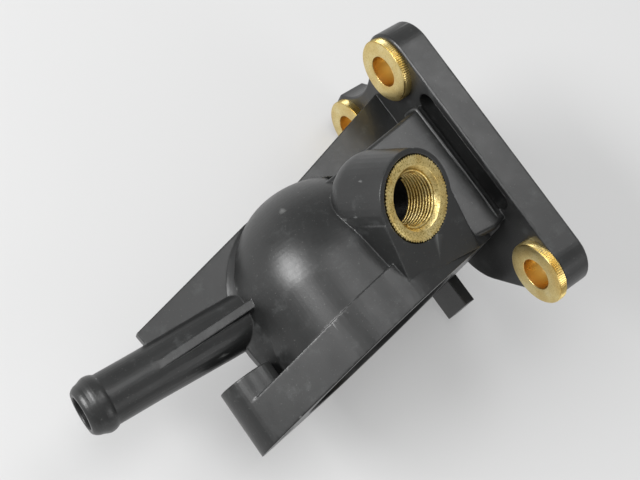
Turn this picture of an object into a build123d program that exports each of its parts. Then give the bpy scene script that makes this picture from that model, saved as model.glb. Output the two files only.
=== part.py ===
"""Coolant thermostat housing: one black moulding with brass bolt sleeves and a brass sensor port.

Row frame, in millimetres: the origin is the centre of the coolant port in the engine flange's
mating face, +X points at the engine, +Z is the sensor port's side, -Y is the thermostat's side.
"""
import os
from math import cos, radians, sin, sqrt, tan

from build123d import *

os.makedirs("parts", exist_ok=True)

# Engine flange
flange_thickness = 9.0
flange_edge = 0.5
bolt_y = 33.3                    # upper pair of bolts, either side of the port
bolt_z_high = 17.0               # height of the upper pair
bolt_z_low = -18.5               # height of the third bolt, below the +Y one
boss_radius = 9.4                # flange corner round each bolt
boss_lift = 0.4                  # the +Y corner sits this much above its bolt
front_corner_radius, front_corner_inset = 8.7, 0.9   # the -Y corner, nearer the port than its bolt
land_y, land_z, land_radius = -14.0, 2.0, 16.0   # sealing land that bulges the open corner
waist_y = 36.8                   # the +Y side is hollowed down to here between its two bolts
port_radius = 14.5               # coolant port to the engine
seal_radius, seal_width, seal_depth = 17.2, 2.6, 2.0
pocket_depth, pocket_length, pocket_y = 4.0, 37.0, 3.0
pocket_rim = 2.6                 # wall left between the pocket and the flange's top

# Brass sleeve that takes the bolt's load
sleeve_head_radius = 8.8
sleeve_head_height = 2.3
sleeve_edge = 0.4
sleeve_shank_radius = 6.4
sleeve_hole_radius = 4.35

# Rectangular neck between the flange and the chamber
neck_top, neck_bottom = 18.4, -17.0
neck_y_flange = 20.8             # +Y wall at the flange
neck_lean = 7.3                  # degrees that the +Y wall leans towards the chamber
neck_end_x = -12.7               # end of the flat -Y side, short of the engine flange
neck_edge = 1.2

# Thermostat chamber: its walls run along Y, and its mouth is cut off at a slant
chamber_x = -50.5
chamber_radius = 23.0
chamber_wall = 3.4
dome_centre_y = -4.7
flare_x, flare_y = -52.3, -6.8   # centre of the flare where the dome meets the web
flare_radius, flare_height, flare_inset = 28.9, 8.0, 5.4

# Flange for the thermostat cover
cover_lean = 8.3                 # degrees that the mating face is off square to the walls
cover_tip = 1.8                  # degrees that it looks up towards the sensor port
cover_y = -24.6                  # mating face on the chamber's axis
cover_thickness = 11.0
cover_ring_radius = 29.0
seat_radius, seat_depth = 25.4, 3.0
ear_x, ear_radius = -84.3, 8.3
ear_boss_top_y = -12.6            # its end is square to Y, not to the slanted flange
ear_boss_flat = 4.6              # from its centre to the flat side that faces the dome
corner_x, corner_radius = -18.2, 5.0
corner_z_high, corner_z_low = 12.5, -2.0
screw_radius, screw_depth = 2.4, 8.0

# Hose nozzle
nozzle_root_x, nozzle_root_y = -84.3, 0.3
nozzle_lean = 2.5                # degrees
nozzle_tip_x = -123.1
nozzle_straight = 12.0           # parallel length for the hose, behind the bead
nozzle_tip_radius, nozzle_root_radius = 6.8, 7.15
nozzle_bore = 4.4
nozzle_nose_length, nozzle_nose_radius = 2.1, 5.6
bead_height, bead_length, bead_set_back = 0.7, 4.2, 4.5

# Webs
web_thickness = 3.0
web_mid_z = 1.2
web_tip = (-102.0, 11.0)
web_bend = (-62.7, 20.4)         # where the outer edge reaches the dome
web_leave = (-45.2, 22.4)        # and leaves it again
web_root = (-flange_thickness, 33.0)
fin_thickness = 2.4
fin_start_x, fin_rise = -104.7, 3.3

# Sensor port
port_x, port_y, port_z = -34.9, -2.9, 34.3       # centre of the port's face
port_lean_x, port_lean_y = 0.225, -0.49          # its axis, along X and along Y
insert_radius = 10.8
insert_length = 10.0
thread_radius = 6.5
mouth_radius = 8.0
probe_radius = 6.9               # hole below the insert, for the sensor's tip
port_boss_radius = 12.2
port_boss_length = 21.5
port_boss_draft = 2.0            # degrees, wider towards its root
port_boss_round = 7.5            # at its root end
pad_depth = 16.8
pad_drop = 18.2                  # from the port's centre to the pad's lower edge
pad_left, pad_right = 8.7, 17.6

# Locating tab below the neck
tab_x, tab_thickness = -18.5, 3.2
tab_reach, tab_top, tab_bottom = 8.5, -11.0, -25.0

# Places that follow from the sizes above
bolt_centres = [(bolt_y, bolt_z_high), (-bolt_y, bolt_z_high), (bolt_y, bolt_z_low)]
cover_slope = radians(cover_lean)
cover_along = Vector(cos(cover_slope), sin(cover_slope), 0)
cover_tilt = radians(cover_tip)
cover_outward = Vector(
    sin(cover_slope) * cos(cover_tilt), -cos(cover_slope) * cos(cover_tilt), sin(cover_tilt)
)
mouth = Vector(chamber_x, cover_y, 0)
mating_plane = Plane(origin=mouth, x_dir=cover_along, z_dir=cover_outward)
dome_centre = Vector(chamber_x, dome_centre_y, 0)
dome_radius = chamber_radius + chamber_wall
chamber_plane = Plane(origin=dome_centre, x_dir=(1, 0, 0), z_dir=(0, 0, 1))

port_axis = Vector(port_lean_x, port_lean_y, sqrt(1 - port_lean_x**2 - port_lean_y**2))
port_centre = Vector(port_x, port_y, port_z)
pad_direction = Vector(0.961, -0.078, -0.266)
pad_direction = (pad_direction - port_axis * pad_direction.dot(port_axis)).normalized()
port_plane = Plane(origin=port_centre, x_dir=pad_direction, z_dir=port_axis)

nozzle_slope = radians(nozzle_lean)
nozzle_direction = Vector(-cos(nozzle_slope), sin(nozzle_slope), 0)
nozzle_root = Vector(nozzle_root_x, nozzle_root_y, 0)
nozzle_length = (nozzle_root_x - nozzle_tip_x) / cos(nozzle_slope)
nozzle_inset = nozzle_root_x - chamber_x
nozzle_plane = Plane(origin=nozzle_root, x_dir=nozzle_direction, z_dir=(0, 0, 1))


def mating_y(x, depth=0.0):
    """Where the plane that lies depth behind the cover flange's mating face is at x."""
    return cover_y + (x - chamber_x) * tan(cover_slope) + depth / cos(cover_slope)


# Slab for the thermostat cover: walls along Y, cut off by two slanted planes
with BuildPart() as cover_slab:
    with BuildSketch(Plane.XZ) as cover_outline:
        with Locations((chamber_x, 0)):
            Circle(cover_ring_radius)
        with Locations((ear_x, 0)):
            Circle(ear_radius)
        with Locations((corner_x, corner_z_high), (corner_x, corner_z_low)):
            Circle(corner_radius)
        make_hull()
    extrude(amount=2 * cover_ring_radius)
    split(bisect_by=mating_plane, keep=Keep.BOTTOM)
    split(bisect_by=mating_plane.offset(-cover_thickness), keep=Keep.TOP)

# Boss behind the ear for the cover's long screw
with BuildPart() as ear_boss:
    with BuildSketch(Plane.XZ.offset(-ear_boss_top_y)):
        with Locations((ear_x, 0)):
            Circle(ear_radius)
        with Locations((ear_x + ear_boss_flat, 0)):
            Rectangle(ear_radius, 2 * ear_radius, align=(Align.MIN, Align.CENTER), mode=Mode.SUBTRACT)
    extrude(amount=2 * cover_ring_radius)
    split(bisect_by=mating_plane, keep=Keep.BOTTOM)

# Boss round the sensor port, with a round root end
with BuildPart() as port_boss:
    with BuildSketch(port_plane):
        Circle(port_boss_radius)
    extrude(amount=-port_boss_length, taper=-port_boss_draft)
    fillet(port_boss.edges().sort_by(Axis.Z)[0], radius=port_boss_round)

# Flare where the chamber's two mould halves part, kept behind the cover's flange
with BuildPart() as flare:
    with BuildSketch(Plane.XZ.offset(-flare_y)) as flare_section:
        with BuildLine():
            flare_low = web_mid_z - web_thickness / 2
            flare_mid = web_mid_z + web_thickness / 2
            flare_top = flare_radius - flare_inset
            Line((flare_x + flare_radius, flare_low), (flare_x + flare_radius, flare_mid))
            RadiusArc((flare_x + flare_radius, flare_mid), (flare_x + flare_top, flare_mid + flare_height),
                      2 * flare_height)
            Polyline((flare_x + flare_top, flare_mid + flare_height), (flare_x, flare_mid + flare_height),
                     (flare_x, flare_low - flare_height), (flare_x + flare_top, flare_low - flare_height))
            RadiusArc((flare_x + flare_top, flare_low - flare_height), (flare_x + flare_radius, flare_low),
                      2 * flare_height)
        make_face()
    revolve(axis=Axis((flare_x, flare_y, 0), (0, 0, 1)))
    split(bisect_by=mating_plane.offset(-cover_thickness / 2), keep=Keep.BOTTOM)

# Neck, from the engine flange into the chamber
with BuildPart() as neck:
    with BuildSketch(Plane.XY.offset(neck_bottom)) as neck_plan:
        with BuildLine():
            neck_start_x = -flange_thickness / 2
            neck_far_y = neck_y_flange + (chamber_x - neck_start_x) * tan(radians(neck_lean))
            Polyline(
                (neck_start_x, neck_y_flange),
                (chamber_x, neck_far_y),
                (chamber_x, mating_y(chamber_x, cover_thickness)),
                (neck_end_x, mating_y(neck_end_x, 1.0)),
                (neck_start_x, mating_y(neck_end_x, 3.5)),
                close=True,
            )
        make_face()
    extrude(amount=neck_top - neck_bottom)
    fillet(neck.edges().filter_by(Axis.X, reverse=True).group_by(Axis.Z)[-1], radius=neck_edge)

with BuildPart() as housing:
    # Engine flange: a rounded triangle with a fuller land round the port
    with BuildSketch(Plane.YZ) as flange_outline:
        with Locations((bolt_y, bolt_z_high + boss_lift), (bolt_y, bolt_z_low)):
            Circle(boss_radius)
        with Locations((front_corner_inset - bolt_y, bolt_z_high)):
            Circle(front_corner_radius)
        with Locations((land_y, land_z)):
            Circle(land_radius)
        make_hull()
        half_span = (bolt_z_high - bolt_z_low) / 2
        waist_in = waist_y - bolt_y
        waist_radius = (half_span**2 + waist_in**2 - boss_radius**2) / (2 * (boss_radius - waist_in))
        with Locations((waist_y + waist_radius, (bolt_z_high + bolt_z_low) / 2)):
            Circle(waist_radius, mode=Mode.SUBTRACT)
    extrude(amount=-flange_thickness)
    chamfer(housing.edges().group_by(Axis.X)[0], length=flange_edge)
    chamfer(housing.edges().group_by(Axis.X)[-1], length=flange_edge)

    add(neck.part)
    add(cover_slab.part)
    add(ear_boss.part)
    add(flare.part)
    add(port_boss.part)

    # Domed chamber
    with BuildSketch(chamber_plane) as dome_section:
        with BuildLine():
            RadiusArc((0, dome_radius), (dome_radius, 0), dome_radius)
            Polyline((dome_radius, 0), (dome_radius, mating_y(chamber_x, 6.0) - dome_centre_y),
                     (0, mating_y(chamber_x, 6.0) - dome_centre_y), (0, dome_radius))
        make_face()
    revolve(axis=Axis(dome_centre, (0, 1, 0)))

    # Hose nozzle, with its bead and rounded nose
    with BuildSketch(nozzle_plane) as nozzle_section:
        bead_end = nozzle_length - bead_set_back + bead_length / 2
        bead_start = bead_end - bead_length
        with BuildLine():
            Polyline(
                (bead_end, nozzle_tip_radius),
                (nozzle_length - nozzle_nose_length, nozzle_tip_radius),
            )
            nose = RadiusArc(
                (nozzle_length - nozzle_nose_length, nozzle_tip_radius),
                (nozzle_length, nozzle_nose_radius),
                1.5 * nozzle_nose_length,
            )
            Polyline(
                (nozzle_length, nozzle_nose_radius),
                (nozzle_length, 0),
                (nozzle_inset, 0),
                (nozzle_inset, nozzle_root_radius),
                (0, nozzle_root_radius),
                (bead_start - nozzle_straight, nozzle_tip_radius),
                (bead_start, nozzle_tip_radius),
            )
            ThreePointArc(
                (bead_start, nozzle_tip_radius),
                ((bead_start + bead_end) / 2, nozzle_tip_radius + bead_height),
                (bead_end, nozzle_tip_radius),
            )
        make_face()
    revolve(axis=Axis(nozzle_root, nozzle_direction))

    # Long web on the parting plane
    with BuildSketch(Plane.XY.offset(web_mid_z - web_thickness / 2)) as web_plan:
        with BuildLine():
            Polyline(web_tip, web_bend, web_leave, web_root, (-flange_thickness, 0),
                     (chamber_x, 0), (web_tip[0] + 1.2, nozzle_root_y), web_tip)
        make_face()
    extrude(amount=web_thickness)

    # Upright fins that brace the nozzle above and below
    with BuildSketch(Plane.XZ.offset(fin_thickness / 2 - nozzle_root_y - 0.6)) as fin_profile:
        fin_end_x = chamber_x - dome_radius + 4
        with BuildLine():
            Polyline(
                (fin_start_x, 0),
                (fin_start_x, nozzle_tip_radius - 0.3),
                (fin_end_x, nozzle_root_radius + fin_rise),
                (fin_end_x, -nozzle_root_radius - fin_rise),
                (fin_start_x, 0.3 - nozzle_tip_radius),
                close=True,
            )
        make_face()
    extrude(amount=-fin_thickness)

    # Flat pad that runs from the sensor port down to the flange
    with BuildSketch(port_plane) as pad_outline:
        with BuildLine():
            Polyline(
                (-port_boss_radius, -3.0),
                (-pad_left, -pad_drop),
                (pad_right, -pad_drop),
                (port_boss_radius, -1.5),
                close=True,
            )
        make_face()
    extrude(amount=-pad_depth)

    # Locating tab
    with BuildSketch(Plane.YZ.offset(tab_x)) as tab_outline:
        with BuildLine():
            tab_root = mating_y(tab_x)
            Polyline(
                (tab_root + 4, tab_top),
                (tab_root - tab_reach, tab_top),
                (tab_root - tab_reach, tab_bottom),
                (tab_root + 1.0, tab_bottom),
                (tab_root + 4, neck_bottom + 2),
                close=True,
            )
        make_face()
    extrude(amount=tab_thickness)

    # Hollows: chamber, thermostat seat, passage to the engine, nozzle bore and sensor hole
    with BuildSketch(chamber_plane) as chamber_section:
        with BuildLine():
            chamber_mouth = -cover_ring_radius
            RadiusArc((0, chamber_radius), (chamber_radius, 0), chamber_radius)
            Polyline((chamber_radius, 0), (chamber_radius, chamber_mouth), (0, chamber_mouth),
                     (0, chamber_radius))
        make_face()
    revolve(axis=Axis(dome_centre, (0, 1, 0)), mode=Mode.SUBTRACT)
    with BuildSketch(Plane.YZ):
        Circle(port_radius)
    extrude(amount=chamber_x, mode=Mode.SUBTRACT)
    with BuildSketch(Plane(origin=nozzle_root, z_dir=nozzle_direction)):
        Circle(nozzle_bore)
    extrude(amount=nozzle_length, both=True, mode=Mode.SUBTRACT)
    with BuildSketch(port_plane):
        Circle(insert_radius)
    extrude(amount=-insert_length, mode=Mode.SUBTRACT)
    with BuildSketch(port_plane):
        Circle(probe_radius)
    extrude(amount=-port_z, mode=Mode.SUBTRACT)

    with BuildSketch(mating_plane):
        Circle(seat_radius)
    extrude(amount=-seat_depth, mode=Mode.SUBTRACT)

    # Seal groove, sleeve holes and the pocket under the flange's rim
    with BuildSketch(Plane.YZ):
        Circle(seal_radius + seal_width)
        Circle(seal_radius, mode=Mode.SUBTRACT)
    extrude(amount=-seal_depth, mode=Mode.SUBTRACT)
    with BuildSketch(Plane.YZ):
        with Locations(*bolt_centres):
            Circle(sleeve_shank_radius)
    extrude(amount=-flange_thickness, mode=Mode.SUBTRACT)
    with BuildSketch(Plane.YZ.offset(-flange_thickness)):
        pocket_low = neck_top - neck_edge / 2
        pocket_high = bolt_z_high + boss_lift + boss_radius - pocket_rim
        with Locations((pocket_y, (pocket_low + pocket_high) / 2)):
            SlotOverall(pocket_length, pocket_high - pocket_low)
    extrude(amount=pocket_depth, mode=Mode.SUBTRACT)

    # Blind holes for the cover's screws
    with BuildSketch(mating_plane) as cover_screws:
        corner_along = (corner_x - chamber_x) / cos(cover_slope)
        with Locations(((ear_x - chamber_x) / cos(cover_slope), 0),
                       (corner_along, corner_z_high)):
            Circle(screw_radius)
    extrude(amount=-screw_depth, mode=Mode.SUBTRACT)

housing.part.label = "housing_body"
export_step(housing.part, "parts/housing_body.step")

# Brass bolt sleeves, one at each corner of the flange
sleeve_names = ["flange_sleeve_upper", "flange_sleeve_front", "flange_sleeve_lower"]
for sleeve_name, (sleeve_y, sleeve_z) in zip(sleeve_names, bolt_centres):
    with BuildPart() as sleeve:
        head_x = -flange_thickness - sleeve_head_height
        with BuildSketch(Plane.YZ.offset(head_x)):
            with Locations((sleeve_y, sleeve_z)):
                Circle(sleeve_head_radius)
        extrude(amount=sleeve_head_height)
        with BuildSketch(Plane.YZ):
            with Locations((sleeve_y, sleeve_z)):
                Circle(sleeve_shank_radius)
        extrude(amount=head_x)
        chamfer(sleeve.edges().group_by(Axis.X)[0], length=sleeve_edge)
        with BuildSketch(Plane.YZ):
            with Locations((sleeve_y, sleeve_z)):
                Circle(sleeve_hole_radius)
        extrude(amount=head_x, mode=Mode.SUBTRACT)
    sleeve.part.label = sleeve_name
    export_step(sleeve.part, f"parts/{sleeve_name}.step")

# Brass threaded insert moulded into the sensor boss
with BuildPart() as insert:
    with BuildSketch(port_plane):
        Circle(insert_radius)
        Circle(thread_radius, mode=Mode.SUBTRACT)
    extrude(amount=-insert_length)
    port_face = insert.faces().sort_by(Axis(port_centre, port_axis))[-1]
    mouth_edge = port_face.edges().sort_by(SortBy.LENGTH)[0]
    chamfer(mouth_edge, length=mouth_radius - thread_radius)
insert.part.label = "sensor_insert"
export_step(insert.part, "parts/sensor_insert.step")
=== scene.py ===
"""Studio scene of a coolant thermostat housing: satin black moulding, turned brass sleeves and port."""
import math
from contextlib import contextmanager

import bmesh
import bpy
from mathutils import Matrix, Vector


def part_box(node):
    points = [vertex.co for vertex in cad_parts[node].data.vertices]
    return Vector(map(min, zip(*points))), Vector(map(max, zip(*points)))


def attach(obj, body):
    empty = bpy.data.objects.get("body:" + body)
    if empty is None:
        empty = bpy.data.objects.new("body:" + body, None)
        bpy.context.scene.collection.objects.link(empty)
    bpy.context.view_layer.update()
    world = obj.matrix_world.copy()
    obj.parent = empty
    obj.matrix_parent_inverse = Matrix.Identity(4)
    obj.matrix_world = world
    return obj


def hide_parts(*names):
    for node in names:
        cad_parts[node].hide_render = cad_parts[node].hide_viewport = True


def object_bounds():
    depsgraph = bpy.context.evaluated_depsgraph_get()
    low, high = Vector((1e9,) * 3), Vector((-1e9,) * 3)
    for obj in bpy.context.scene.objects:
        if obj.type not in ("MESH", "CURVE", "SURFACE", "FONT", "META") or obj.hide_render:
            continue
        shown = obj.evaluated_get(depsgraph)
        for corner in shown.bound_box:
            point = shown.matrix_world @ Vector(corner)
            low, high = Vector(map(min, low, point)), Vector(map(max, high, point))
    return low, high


MM = 0.001

# Photograph's camera, in the row frame
IMAGE_WIDTH = 640
FOCAL_PIXELS = 1150.0
SENSOR_WIDTH = 36.0
CAMERA_PLACE = (-162.9 * MM, -40.0 * MM, 275.6 * MM)
CAMERA_RIGHT = (0.7827, -0.5782, 0.2303)
CAMERA_UP = (0.4909, 0.8010, 0.3426)

# Brass bolt sleeves
HEAD_RADIUS = 8.8 * MM
HEAD_HEIGHT = 2.3 * MM
HEAD_FACE_RADIUS = 8.45 * MM     # the flat face ends here, and a bevel runs to the rim
HEAD_BEVEL = 0.22 * MM
SHANK_RADIUS = 6.4 * MM
SLEEVE_HOLE_RADIUS = 4.35 * MM
SLEEVE_LENGTH = 11.3 * MM
SLEEVE_RIM = HEAD_RADIUS - 0.30 * MM     # turned rim between the knurl's teeth
SLEEVE_TOOTH_CIRCLE = SLEEVE_RIM - 0.06 * MM     # through the middles of the teeth
SLEEVE_TOOTH_GAP = 0.1 * MM              # the teeth stop short of the bevel
SLEEVE_CORNER = 0.10 * MM
HOLE_EASE = 0.12 * MM
SLEEVE_KNURL = {"Teeth": 90, "Width": 0.50 * MM, "Unevenness": 0.12}
SLEEVES = {
    "flange_sleeve_upper": "turned_sleeve_upper",
    "flange_sleeve_front": "turned_sleeve_front",
    "flange_sleeve_lower": "turned_sleeve_lower",
}

# Brass insert in the sensor port
PORT_CENTRE = Vector((-34.9, -2.9, 34.3)) * MM
PORT_LEAN = (0.225, -0.49)               # its axis, along X and along Y
PORT_AXIS = Vector((*PORT_LEAN, math.sqrt(1 - PORT_LEAN[0]**2 - PORT_LEAN[1]**2)))
INSERT_RADIUS = 10.8 * MM
INSERT_LENGTH = 10.0 * MM
INSERT_RIM = INSERT_RADIUS - 0.70 * MM   # turned rim between the knurl's teeth
INSERT_TOOTH_CIRCLE = INSERT_RIM - 0.05 * MM     # through the middles of the teeth
INSERT_TOOTH_HEIGHT = INSERT_LENGTH - 1.0 * MM
INSERT_TOOTH_SINK = 0.04 * MM            # the teeth end this far below the face
INSERT_CORNER = 0.12 * MM
INSERT_PROUD = 0.12 * MM                 # its face stands this far out of the boss
INSERT_BEVEL = 0.2 * MM
INSERT_KNURL = {"Teeth": 78, "Width": 1.0 * MM, "Unevenness": 0.35}
PROBE_RADIUS = 6.9 * MM
MOUTH_RADIUS = 8.0 * MM
THREAD_MAJOR = 7.05 * MM
THREAD_MINOR = 6.5 * MM
THREAD_PITCH = 1.0 * MM
THREAD_SINK = 0.04 * MM                  # the ridge is rooted this deep in the wall
THREAD_START = 0.45                      # height of its first ridge over the foot, in pitches
THREAD_RUN_OUT = 0.6                     # turns that it stops short of the mouth
THREAD_ROOT_HALF, THREAD_CREST_HALF = 0.46, 0.08     # half widths of the ridge, in pitches

# Moulding: forms that are a little fuller than in the solid
DOME_CENTRE = Vector((-50.8, -4.0, 0.0)) * MM
DOME_RADIUS = 27.2 * MM
DOME_SKIN = 2.2 * MM
DOME_FOOT = -18.2 * MM           # ends inside the cover flange
DOME_LOW = 4.6 * MM              # stays above the nozzle's bore
DOME_FAR = -35.0 * MM            # stays clear of the passage to the engine
BEYOND = 80.0 * MM               # farther out than the dome reaches
PROBE_CUT_RADIUS = PROBE_RADIUS + 0.5 * MM
SEAT_CUT_RADIUS = INSERT_RADIUS + 0.8 * MM
PORT_CUT_FOOT, PORT_CUT_STEP, PORT_CUT_TOP = -30.0 * MM, -15.5 * MM, 10.0 * MM   # from the port's face
NOZZLE_ROOT = Vector((-84.3, 0.3, 0.0)) * MM
NOZZLE_LEAN = math.radians(2.5)
NOZZLE_LENGTH = 38.8 * MM / math.cos(NOZZLE_LEAN)
BEAD_CREST = 7.5 * MM
BEAD_SET_BACK = 4.5 * MM
BEAD_LAND = 0.5 * MM             # of the crest, before the nose tapers
NOSE_BORE = 4.35 * MM
NOSE_RADIUS, NOSE_SET_BACK = 6.25 * MM, 0.7 * MM
TIP_RADIUS = 5.55 * MM
NOSE_CORNER = 0.5 * MM
LIP_RADIUS = 0.75 * MM
LIP_PATH = [(-10.6, 20.9, 12.0), (-10.6, 20.3, 17.6), (-10.6, 18.6, 18.1), (-10.6, -14.6, 18.1),
            (-10.8, -17.0, 17.3), (-10.9, -17.4, 14.5), (-10.9, -17.4, 5.0)]     # millimetres

# Fineness of the meshes
LATHE_STEPS = 96
DOME_STEPS = 160
DOME_ARC_STEPS = 32
SHELL_SHARE = 0.13               # of the even skin's triangles kept
WELD = 0.002 * MM                # points nearer than this are one point
SHARP_ANGLE = math.radians(35)

# Colours of the nylon, from its base to the marks on it, and a painted highlight for its convex edges
NYLON_DARK = (0.0095, 0.0098, 0.0098)
NYLON_PALE = (0.0185, 0.0190, 0.0188)
NYLON_SCUFFED = (0.046, 0.048, 0.048)
# painted highlight: the pale colour laid on convex edges in place of light on their rounding
NYLON_EDGE_HIGHLIGHT = (0.105, 0.107, 0.105)
DUST = (0.12, 0.12, 0.115)

# Colours of the brass
BRASS_STAINED = (0.66, 0.46, 0.15)
BRASS = (0.80, 0.64, 0.28)
BRASS_PALE = (0.90, 0.78, 0.45)
BRASS_SPOT = (0.34, 0.23, 0.05)
BRASS_BORE = (0.84, 0.60, 0.24)

# Studio
FLOOR_SIZE = 6.0
FLOOR_COLOUR = (0.61, 0.61, 0.61)
FLOOR_GLOW = (0.80, 0.80, 0.80)
GLOW_SEEN, GLOW_MIRRORED = 0.32, 0.55    # shares of the glow in the view and in glossy surfaces
SKY_COLOUR = (0.96, 0.97, 0.97)
SKY_STRENGTH = 0.46
LAMP_TARGET = Vector((-0.05, 0.0, 0.0))


def frame_matrix(origin, axis):
    """A place whose local Z runs along axis."""
    turn = Vector(axis).to_track_quat("Z", "Y")
    return Matrix.Translation(origin) @ turn.to_matrix().to_4x4()


def opaque(colour):
    return (*colour, 1.0)


# Node helpers

class Nodes:
    """Short calls for the nodes and links of one tree."""

    def __init__(self, tree):
        self.tree = tree

    def feed(self, socket, value):
        """Links value to the socket if it is a socket itself, and otherwise sets it."""
        if isinstance(value, bpy.types.NodeSocket):
            self.tree.links.new(value, socket)
        else:
            socket.default_value = value

    def node(self, kind, **settings):
        made = self.tree.nodes.new(kind)
        for key, value in settings.items():
            setattr(made, key, value)
        return made

    def step(self, kind, values, output=0, **settings):
        """Adds a node, feeds its inputs by label or number, and returns one of its outputs."""
        made = self.node(kind, **settings)
        for label, value in values.items():
            self.feed(made.inputs[label], value)
        return made.outputs[output]

    def calculate(self, operation, *values):
        return self.step("ShaderNodeMath", dict(enumerate(values)), operation=operation)

    def vector(self, x=0.0, y=0.0, z=0.0):
        return self.step("ShaderNodeCombineXYZ", {"X": x, "Y": y, "Z": z})


class Shader(Nodes):
    """A material under construction."""

    def __init__(self, name):
        self.material = bpy.data.materials.new(name)
        self.material.use_nodes = True
        super().__init__(self.material.node_tree)
        self.surface = self.tree.nodes["Principled BSDF"]
        self.place = self.node("ShaderNodeTexCoord").outputs["Object"]

    def noise(self, scale, detail=4.0, roughness=0.55):
        return self.step("ShaderNodeTexNoise", {
            "Scale": scale, "Detail": detail, "Roughness": roughness, "Vector": self.place,
        }, "Fac")

    def ramp(self, source, stops):
        """A ramp through (position, grey or colour) stops."""
        ramp = self.node("ShaderNodeValToRGB")
        elements = ramp.color_ramp.elements
        for index, (position, colour) in enumerate(stops):
            element = elements[index] if index < 2 else elements.new(position)
            element.position = position
            if not hasattr(colour, "__len__"):
                colour = (colour, colour, colour)
            element.color = opaque(colour)
        self.feed(ramp.inputs["Fac"], source)
        return ramp.outputs["Color"]

    def paint_over(self, colour, mask, paint):
        """Shows paint over a colour where the mask is bright."""
        return self.step("ShaderNodeMix", {"Factor": mask, "A": colour, "B": opaque(paint)}, "Result",
                         data_type="RGBA")

    def from_axis(self, centre, axis):
        """The distance of each point from an axis through centre."""
        turn = frame_matrix(centre, axis).inverted()
        turned_place = self.step("ShaderNodeMapping", {
            "Location": turn.to_translation(), "Rotation": turn.to_euler(), "Vector": self.place,
        })
        split = self.node("ShaderNodeSeparateXYZ")
        self.feed(split.inputs[0], turned_place)
        across = self.vector(split.outputs["X"], split.outputs["Y"])
        return self.step("ShaderNodeVectorMath", {0: across}, "Value", operation="LENGTH")

    def bump(self, *layers):
        """The normal that comes of stacked layers, each (height socket, distance in metres, strength)."""
        normal = None
        for height, distance, strength in layers:
            values = {"Height": height, "Distance": distance, "Strength": strength}
            if normal is not None:
                values["Normal"] = normal
            normal = self.step("ShaderNodeBump", values)
        return normal

    def finished(self, **values):
        """Feeds the surface shader's inputs, whose spaces are written as _, and returns the material."""
        for label, value in values.items():
            self.feed(self.surface.inputs[label.replace("_", " ")], value)
        return self.material


class GeometryTree(Nodes):
    """A Geometry Nodes tree under construction, with named inputs and one finished mesh."""

    def __init__(self, name, **inputs):
        super().__init__(bpy.data.node_groups.new(name, "GeometryNodeTree"))
        for label, kind in inputs.items():
            self.tree.interface.new_socket(label, in_out="INPUT", socket_type=f"NodeSocket{kind}")
        self.tree.interface.new_socket("Geometry", in_out="OUTPUT", socket_type="NodeSocketGeometry")
        self.given = self.node("NodeGroupInput").outputs

    def finished(self, geometry):
        """Makes instances real, gives them the finish, and returns the tree."""
        real = self.step("GeometryNodeRealizeInstances", {"Geometry": geometry})
        dressed = self.step("GeometryNodeSetMaterial", {"Geometry": real, "Material": self.given["Finish"]})
        self.feed(self.node("NodeGroupOutput").inputs["Geometry"], dressed)
        return self.tree


# Finishes

def filled_nylon():
    """Black glass-filled nylon: satin skin, cloudy flow patches, pale scuffs, dust specks and a painted
    highlight on convex edges.
    """
    shade = Shader("filled_nylon")
    clouds = shade.noise(60.0)
    flow = shade.noise(150.0, detail=7.0, roughness=0.72)
    grain = shade.noise(2400.0, detail=2.0, roughness=0.7)
    dust = shade.noise(2200.0, detail=1.0, roughness=0.4)
    corners = shade.node("ShaderNodeNewGeometry").outputs["Pointiness"]
    colour = shade.ramp(clouds, [(0.30, NYLON_DARK), (0.72, NYLON_PALE)])
    colour = shade.paint_over(colour, shade.ramp(flow, [(0.56, 0.0), (0.76, 1.0)]), NYLON_SCUFFED)
    # painted highlight: convex edges, found by Pointiness, are lightened as if light caught their rounding
    colour = shade.paint_over(colour, shade.ramp(corners, [(0.545, 0.0), (0.64, 0.9)]), NYLON_EDGE_HIGHLIGHT)
    colour = shade.paint_over(colour, shade.ramp(dust, [(0.70, 0.0), (0.79, 0.4)]), DUST)
    return shade.finished(
        Base_Color=colour,
        Roughness=shade.ramp(flow, [(0.30, 0.29), (0.70, 0.42)]),
        Specular_IOR_Level=0.55,
        Normal=shade.bump((flow, 0.04 * MM, 0.25), (grain, 0.02 * MM, 0.45)),
    )


def turned_brass(name, centre, axis, ring_step, bore_radius, spots, grain):
    """Brass with fine turning rings about the piece's axis, warm stains and dull spots."""
    shade = Shader(name)
    reach = shade.from_axis(centre, axis)
    rings = shade.calculate("SINE", shade.calculate("MULTIPLY", reach, math.tau / ring_step))
    in_bore = shade.calculate("LESS_THAN", reach, bore_radius)
    stains = shade.noise(190.0)
    speckle = shade.noise(2300.0, detail=3.0, roughness=0.7)
    colour = shade.ramp(stains, [(0.28, BRASS_STAINED), (0.55, BRASS), (0.80, BRASS_PALE)])
    colour = shade.paint_over(colour, shade.ramp(speckle, [(0.50, 0.0), (0.64, spots)]), BRASS_SPOT)
    colour = shade.paint_over(colour, in_bore, BRASS_BORE)
    return shade.finished(
        Base_Color=colour,
        Metallic=1.0,
        Roughness=shade.ramp(stains, [(0.2, 0.24), (0.8, 0.38)]),
        Normal=shade.bump((rings, 0.006 * MM, 0.5), (speckle, 0.03 * MM, grain)),
    )


# Mesh helpers

def placed(name, data):
    """An object in the scene, at the origin."""
    made = bpy.data.objects.new(name, data)
    bpy.context.scene.collection.objects.link(made)
    return made


def new_piece(name, mesh, material):
    mesh.materials.clear()
    mesh.materials.append(material)
    return placed(name, mesh)


def add_modifier(piece, name, kind, **settings):
    modifier = piece.modifiers.new(name, kind)
    for key, value in settings.items():
        setattr(modifier, key, value)
    return modifier


def evaluated_mesh(piece):
    """The plain mesh that a curve or a piece with modifiers comes to."""
    graph = bpy.context.evaluated_depsgraph_get()
    return bpy.data.meshes.new_from_object(piece.evaluated_get(graph))


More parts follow.
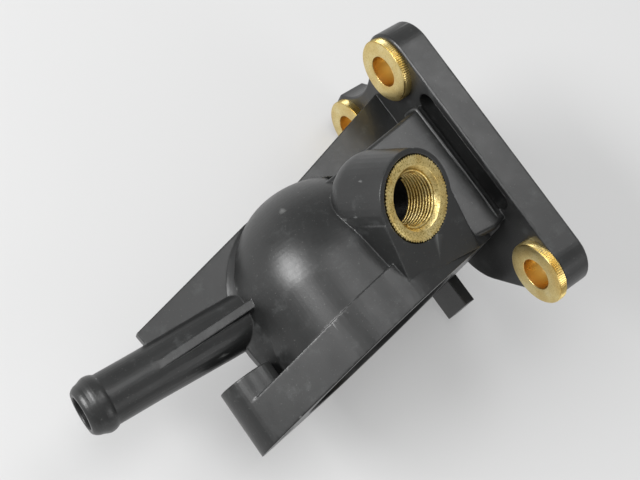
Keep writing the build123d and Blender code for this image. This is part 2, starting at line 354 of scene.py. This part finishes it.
@contextmanager
def editing(mesh):
    work = bmesh.new()
    work.from_mesh(mesh)
    yield work
    work.to_mesh(mesh)
    work.free()


def weld(work):
    bmesh.ops.remove_doubles(work, verts=work.verts, dist=WELD)


def turn_outwards(work):
    bmesh.ops.recalc_face_normals(work, faces=work.faces)


def joined(piece, *meshes):
    """Adds meshes of the same finish to a piece, with their faces turned outwards."""
    for mesh in meshes:
        with editing(mesh) as extra:
            weld(extra)
            turn_outwards(extra)
    with editing(piece.data) as work:
        for mesh in meshes:
            work.from_mesh(mesh)
        for face in work.faces:
            face.material_index = 0
    return piece


def rounded(corners, radius, steps=4):
    """A closed outline with each corner rounded to radius, or less where its sides are short."""
    result = []
    for index, corner in enumerate(corners):
        corner = Vector(corner)
        back = Vector(corners[index - 1]) - corner
        ahead = Vector(corners[(index + 1) % len(corners)]) - corner
        cut = min(radius, 0.45 * back.length, 0.45 * ahead.length)
        start, end = corner + back.normalized() * cut, corner + ahead.normalized() * cut
        for step in range(steps + 1):
            t = step / steps
            point = (1 - t) ** 2 * start + 2 * t * (1 - t) * corner + t * t * end
            result.append((point.x, point.y))
    return result


def lathe_mesh(name, outline, place, steps=LATHE_STEPS):
    """Turns (radius, height) points about place's local Z. An outline from axis to axis stays open there."""
    mesh = bpy.data.meshes.new(name)
    with editing(mesh) as work:
        points = [work.verts.new((radius, 0.0, height)) for radius, height in outline]
        edges = [work.edges.new(pair) for pair in zip(points, points[1:])]
        if outline[0][0] > 0:
            edges.append(work.edges.new((points[-1], points[0])))
        bmesh.ops.spin(work, geom=points + edges, cent=(0, 0, 0), axis=(0, 0, 1), angle=math.tau, steps=steps,
                       use_merge=True)
        weld(work)
        turn_outwards(work)
    mesh.transform(place)
    return mesh


def turned_piece(name, outline, place, material):
    """A lathe-turned piece with its corners kept sharp."""
    mesh = lathe_mesh(name, outline, place)
    mesh.shade_smooth()
    mesh.set_sharp_from_angle(angle=SHARP_ANGLE)
    return new_piece(name, mesh, material)


def box_mesh(name, low, high):
    low, high = Vector(low), Vector(high)
    mesh = bpy.data.meshes.new(name)
    with editing(mesh) as work:
        bmesh.ops.create_cube(work, size=1.0)
        work.transform(Matrix.Translation((low + high) / 2) @ Matrix.Diagonal((*(high - low), 1.0)))
    return mesh


def tube_mesh(name, path, radius):
    """A round bead along a smooth path of points in millimetres."""
    curve = bpy.data.curves.new(name, "CURVE")
    curve.dimensions = "3D"
    curve.bevel_depth = radius
    curve.bevel_resolution = 3
    curve.use_fill_caps = True
    spline = curve.splines.new("NURBS")
    spline.points.add(len(path) - 1)
    for point, place in zip(spline.points, path):
        point.co = (*(Vector(place) * MM), 1.0)
    spline.order_u = 3
    spline.use_endpoint_u = True
    holder = placed(name, curve)
    mesh = evaluated_mesh(holder)
    bpy.data.objects.remove(holder)
    return mesh


def grown(name, tree, place, **values):
    """Runs a Geometry Nodes tree with the given inputs and returns its plain mesh, moved to place."""
    holder = placed(name, bpy.data.meshes.new(name))
    modifier = add_modifier(holder, name, "NODES", node_group=tree)
    for item in tree.interface.items_tree:
        if item.in_out == "INPUT" and item.name in values:
            modifier[item.identifier] = values[item.name]
    mesh = evaluated_mesh(holder)
    holder.modifiers.remove(modifier)
    bpy.data.objects.remove(holder)
    mesh.transform(place)
    return mesh


# What repeats: the knurl's teeth and the thread's turns

def knurl_tree():
    """Straight knurl: upright square bars, corner out and unevenly worn, spaced round a circle."""
    tree = GeometryTree("knurl_ring", Radius="Float", Teeth="Int", Width="Float", Height="Float",
                        Unevenness="Float", Finish="Material")
    given = tree.given
    circle = tree.step("GeometryNodeCurvePrimitiveCircle", {
        "Radius": given["Radius"], "Resolution": given["Teeth"],
    }, "Curve")
    size = tree.vector(given["Width"], given["Width"], given["Height"])
    bar = tree.step("GeometryNodeMeshCube", {"Size": size}, "Mesh")
    corner_out = tree.step("GeometryNodeTransform", {
        "Rotation": (0.0, 0.0, math.radians(45)), "Geometry": bar,
    }, "Geometry")
    place = tree.node("GeometryNodeInputPosition").outputs[0]
    outward = tree.step("FunctionNodeAlignRotationToVector", {"Vector": place}, "Rotation", axis="X")
    smallest = tree.calculate("SUBTRACT", 1.0, given["Unevenness"])
    wear = tree.step("FunctionNodeRandomValue", {"Seed": 4, "Min": smallest}, "Value")
    teeth = tree.step("GeometryNodeInstanceOnPoints", {
        "Points": circle, "Instance": corner_out, "Rotation": outward,
        "Scale": tree.vector(wear, wear, 1.0),
    }, "Instances")
    return tree.finished(teeth)


def thread_tree():
    """Internal screw thread: a ridge of trapezium section wound on a helix."""
    tree = GeometryTree("thread_turns", Radius="Float", Pitch="Float", Turns="Float", Depth="Float",
                        Finish="Material")
    given = tree.given
    helix = tree.step("GeometryNodeCurveSpiral", {
        "Resolution": LATHE_STEPS, "Rotations": given["Turns"], "Start Radius": given["Radius"],
        "End Radius": given["Radius"], "Height": tree.calculate("MULTIPLY", given["Pitch"], given["Turns"]),
    }, "Curve")
    upright = tree.step("GeometryNodeSetCurveNormal", {"Curve": helix}, "Curve", mode="Z_UP")
    ridge_section = [(0.0, -THREAD_ROOT_HALF), (1.0, -THREAD_CREST_HALF),
                     (1.0, THREAD_CREST_HALF), (0.0, THREAD_ROOT_HALF)]
    corners = {}
    for number, (out, along) in enumerate(ridge_section, start=1):
        reach = tree.calculate("MULTIPLY", given["Depth"], out)
        width = tree.calculate("MULTIPLY", given["Pitch"], along)
        corners[f"Point {number}"] = tree.vector(reach, width)
    section = tree.step("GeometryNodeCurvePrimitiveQuadrilateral", corners, "Curve", mode="POINTS")
    ridge = tree.step("GeometryNodeCurveToMesh", {
        "Fill Caps": True, "Curve": upright, "Profile Curve": section,
    }, "Mesh")
    return tree.finished(ridge)


# Pieces

def dome_outline(radius, foot):
    """From the axis at foot out to the wall, along it and over the dome, back to the axis."""
    bends = [math.radians(90) * step / DOME_ARC_STEPS for step in range(DOME_ARC_STEPS)]
    arc = [(radius * math.cos(bend), radius * math.sin(bend)) for bend in bends]
    return [(0.0, foot), (radius, foot), *arc, (0.0, radius)]


def fuller_dome():
    """The dome's outer skin as the photograph shows it, cut clear of the bores that it would cross."""
    place = frame_matrix(DOME_CENTRE, (0, 1, 0))
    port = frame_matrix(PORT_CENTRE, PORT_AXIS)
    foot = DOME_FOOT - DOME_CENTRE.y
    outer = dome_outline(DOME_RADIUS, foot)
    inner = dome_outline(DOME_RADIUS - DOME_SKIN, foot - DOME_SKIN)
    port_reach = [(0.0, PORT_CUT_FOOT), (PROBE_CUT_RADIUS, PORT_CUT_FOOT), (PROBE_CUT_RADIUS, PORT_CUT_STEP),
                  (SEAT_CUT_RADIUS, PORT_CUT_STEP), (SEAT_CUT_RADIUS, PORT_CUT_TOP), (0.0, PORT_CUT_TOP)]
    dome = placed("dome_skin", lathe_mesh("dome_skin", outer, place, DOME_STEPS))
    cutters = [placed("cut", mesh) for mesh in (
        lathe_mesh("cut", inner, place, DOME_STEPS),
        lathe_mesh("cut", port_reach, port),
        box_mesh("cut", (-2 * BEYOND, -BEYOND, -BEYOND), (BEYOND, BEYOND, DOME_LOW)),
        box_mesh("cut", (DOME_FAR, -BEYOND, -BEYOND), (BEYOND, BEYOND, BEYOND)),
    )]
    for cutter in cutters:
        add_modifier(dome, "cut", "BOOLEAN", operation="DIFFERENCE", solver="EXACT", object=cutter)
    mesh = evaluated_mesh(dome)
    for spare in [dome, *cutters]:
        bpy.data.objects.remove(spare)
    return placed("dome_skin", mesh)


def nozzle_nose():
    """The plain taper from the nozzle's bead to its tip."""
    axis = Vector((-math.cos(NOZZLE_LEAN), math.sin(NOZZLE_LEAN), 0.0))
    tip, crest = NOZZLE_LENGTH, NOZZLE_LENGTH - BEAD_SET_BACK
    outline = rounded([
        (NOSE_BORE, crest),
        (BEAD_CREST - 0.02 * MM, crest),
        (BEAD_CREST, crest + BEAD_LAND),
        (NOSE_RADIUS, tip - NOSE_SET_BACK),
        (TIP_RADIUS, tip),
        (NOSE_BORE, tip),
    ], NOSE_CORNER)
    return lathe_mesh("nozzle_nose", outline, frame_matrix(NOZZLE_ROOT, axis))


def moulded_shell(cad, material):
    """The moulding: the CAD solid with its corners and roots softened as a mould leaves them."""
    mesh = cad.data.copy()
    with editing(mesh) as work:
        weld(work)
    shell = new_piece("moulded_shell", mesh, material)
    dome = fuller_dome()
    add_modifier(shell, "fuller_dome", "BOOLEAN", operation="UNION", solver="EXACT", object=dome)
    add_modifier(shell, "even_skin", "REMESH", mode="SHARP", octree_depth=9, scale=0.92,
                 use_remove_disconnected=False, use_smooth_shade=True)
    add_modifier(shell, "soft_corners", "SMOOTH", factor=0.5, iterations=3)
    add_modifier(shell, "fewer_faces", "DECIMATE", ratio=SHELL_SHARE)
    add_modifier(shell, "flat_faces_lead", "WEIGHTED_NORMAL", weight=60)
    skin = evaluated_mesh(shell)
    bpy.data.objects.remove(dome)
    bpy.data.objects.remove(shell)
    extras = [tube_mesh("neck_lip", LIP_PATH, LIP_RADIUS), nozzle_nose()]
    for extra in extras:
        extra.shade_smooth()
    return joined(new_piece("moulded_shell", skin, material), *extras)


def turned_sleeve(cad_name, piece_name, knurl):
    """A flanged bolt sleeve with a bevelled head, a knurled rim and an eased hole."""
    low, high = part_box(cad_name)
    centre = (Vector(low) + Vector(high)) / 2
    foot = Vector((high[0], centre.y, centre.z))
    axis = (-1, 0, 0)
    place = frame_matrix(foot, axis)
    brass = turned_brass(f"{piece_name}_brass", foot, axis, ring_step=0.16 * MM,
                         bore_radius=SLEEVE_HOLE_RADIUS + 0.05 * MM, spots=0.35, grain=0.35)
    top, under = SLEEVE_LENGTH, SLEEVE_LENGTH - HEAD_HEIGHT
    outline = rounded([
        (SLEEVE_HOLE_RADIUS, 0.0),
        (SHANK_RADIUS, 0.0),
        (SHANK_RADIUS, under),
        (SLEEVE_RIM, under),
        (SLEEVE_RIM, top - HEAD_BEVEL),
        (HEAD_FACE_RADIUS, top),
        (SLEEVE_HOLE_RADIUS + HOLE_EASE, top),
        (SLEEVE_HOLE_RADIUS, top - HOLE_EASE),
    ], SLEEVE_CORNER, steps=2)
    height = HEAD_HEIGHT - HEAD_BEVEL - SLEEVE_TOOTH_GAP
    teeth = grown("knurl", knurl, place @ Matrix.Translation((0, 0, under + height / 2)),
                  Radius=SLEEVE_TOOTH_CIRCLE, Height=height, Finish=brass, **SLEEVE_KNURL)
    return joined(turned_piece(piece_name, outline, place, brass), teeth)


def threaded_insert(knurl, thread):
    """The sensor port's insert: bevelled mouth, fine thread and a knurl that grips the moulding."""
    place = frame_matrix(PORT_CENTRE, PORT_AXIS)
    brass = turned_brass("insert_brass", PORT_CENTRE, PORT_AXIS, ring_step=0.2 * MM,
                         bore_radius=THREAD_MINOR - 0.1 * MM, spots=0.9, grain=1.0)
    mouth_depth = MOUTH_RADIUS - THREAD_MAJOR
    outline = rounded([
        (THREAD_MAJOR, -INSERT_LENGTH),
        (INSERT_RIM, -INSERT_LENGTH),
        (INSERT_RIM, 0.0),
        (INSERT_RIM - INSERT_BEVEL, INSERT_PROUD),
        (MOUTH_RADIUS, INSERT_PROUD),
        (THREAD_MAJOR, -mouth_depth),
    ], INSERT_CORNER, steps=2)
    teeth_middle = INSERT_PROUD - INSERT_TOOTH_SINK - INSERT_TOOTH_HEIGHT / 2
    teeth = grown("knurl", knurl, place @ Matrix.Translation((0, 0, teeth_middle)),
                  Radius=INSERT_TOOTH_CIRCLE, Height=INSERT_TOOTH_HEIGHT, Finish=brass, **INSERT_KNURL)
    foot = THREAD_START * THREAD_PITCH - INSERT_LENGTH
    turns = (INSERT_LENGTH - mouth_depth) / THREAD_PITCH - THREAD_RUN_OUT
    ridge = grown("thread", thread, place @ Matrix.Translation((0, 0, foot)),
                  Radius=THREAD_MAJOR + THREAD_SINK, Pitch=THREAD_PITCH, Turns=turns,
                  Depth=THREAD_MAJOR - THREAD_MINOR + THREAD_SINK, Finish=brass)
    return joined(turned_piece("threaded_insert", outline, place, brass), teeth, ridge)


# Floor, light and camera

def pale_floor(height):
    """A matt floor that glows a little where the camera or a glossy surface sees it."""
    bpy.ops.mesh.primitive_plane_add(size=FLOOR_SIZE, location=(0, 0, height))
    floor = bpy.context.object
    floor.name = "studio_floor"
    shade = Shader("studio_floor")
    material = shade.finished(Base_Color=opaque(FLOOR_COLOUR), Roughness=0.9)
    glow = shade.step("ShaderNodeEmission", {"Color": opaque(FLOOR_GLOW)})
    path = shade.node("ShaderNodeLightPath").outputs
    mirrored = shade.calculate("MULTIPLY", path["Is Glossy Ray"], GLOW_MIRRORED)
    share = shade.calculate("MULTIPLY_ADD", path["Is Camera Ray"], GLOW_SEEN, mirrored)
    blend = shade.step("ShaderNodeMixShader", {0: share, 1: shade.surface.outputs[0], 2: glow})
    shade.feed(shade.tree.nodes["Material Output"].inputs["Surface"], blend)
    floor.data.materials.append(material)


def soft_lamp(name, place, power, size, height=None, along=(1.0, 0.0, 0.0)):
    """An oval lamp that faces the part, with its size along one direction and its height across it."""
    data = bpy.data.lights.new(name, "AREA")
    data.shape = "ELLIPSE"
    data.size = size
    data.size_y = height or size
    data.energy = power
    away = (Vector(place) - LAMP_TARGET).normalized()
    across = away.cross(Vector(along)).normalized()
    turn = Matrix((across.cross(away), across, away)).transposed()
    placed(name, data).matrix_world = Matrix.Translation(place) @ turn.to_4x4()


def studio_light():
    world = bpy.data.worlds.new("studio_world")
    bpy.context.scene.world = world
    world.use_nodes = True
    background = world.node_tree.nodes["Background"]
    background.inputs["Color"].default_value = opaque(SKY_COLOUR)
    background.inputs["Strength"].default_value = SKY_STRENGTH
    soft_lamp("window_lamp", (-0.71, 0.42, 0.50), 8.5, size=0.60, height=0.27, along=(-0.19, -0.89, 0.42))
    soft_lamp("ceiling_lamp", (-0.16, 0.12, 0.95), 1.8, size=0.45)
    soft_lamp("far_lamp", (0.42, 0.20, 0.86), 2.0, size=0.45)
    soft_lamp("front_lamp", (0.25, -0.80, 0.45), 1.2, size=0.5)


def photograph_camera():
    data = bpy.data.cameras.new("camera")
    data.sensor_fit = "HORIZONTAL"
    data.sensor_width = SENSOR_WIDTH
    data.lens = FOCAL_PIXELS / IMAGE_WIDTH * SENSOR_WIDTH
    data.clip_start = 0.01
    data.clip_end = 20.0
    right = Vector(CAMERA_RIGHT).normalized()
    back = right.cross(Vector(CAMERA_UP)).normalized()
    turn = Matrix((right, back.cross(right), back)).transposed()
    camera = placed("camera", data)
    camera.matrix_world = Matrix.Translation(CAMERA_PLACE) @ turn.to_4x4()
    bpy.context.scene.camera = camera


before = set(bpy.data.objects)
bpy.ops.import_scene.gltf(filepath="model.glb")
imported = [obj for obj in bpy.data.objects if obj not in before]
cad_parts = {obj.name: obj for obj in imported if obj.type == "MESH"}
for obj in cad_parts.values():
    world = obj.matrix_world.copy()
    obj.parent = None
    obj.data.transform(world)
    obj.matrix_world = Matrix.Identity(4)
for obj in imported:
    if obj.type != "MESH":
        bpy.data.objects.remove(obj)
cad_box = [list(corner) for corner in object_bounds()]

nylon = filled_nylon()
shell = moulded_shell(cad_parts["housing_body"], nylon)
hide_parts("housing_body")
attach(shell, "root")

knurl = knurl_tree()
for cad_name, piece_name in SLEEVES.items():
    sleeve = turned_sleeve(cad_name, piece_name, knurl)
    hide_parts(cad_name)
    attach(sleeve, "root")

insert = threaded_insert(knurl, thread_tree())
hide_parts("sensor_insert")
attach(insert, "root")

pale_floor(cad_box[0][2] - 0.1 * MM)
studio_light()
photograph_camera()
bpy.context.scene.view_settings.view_transform = "Standard"
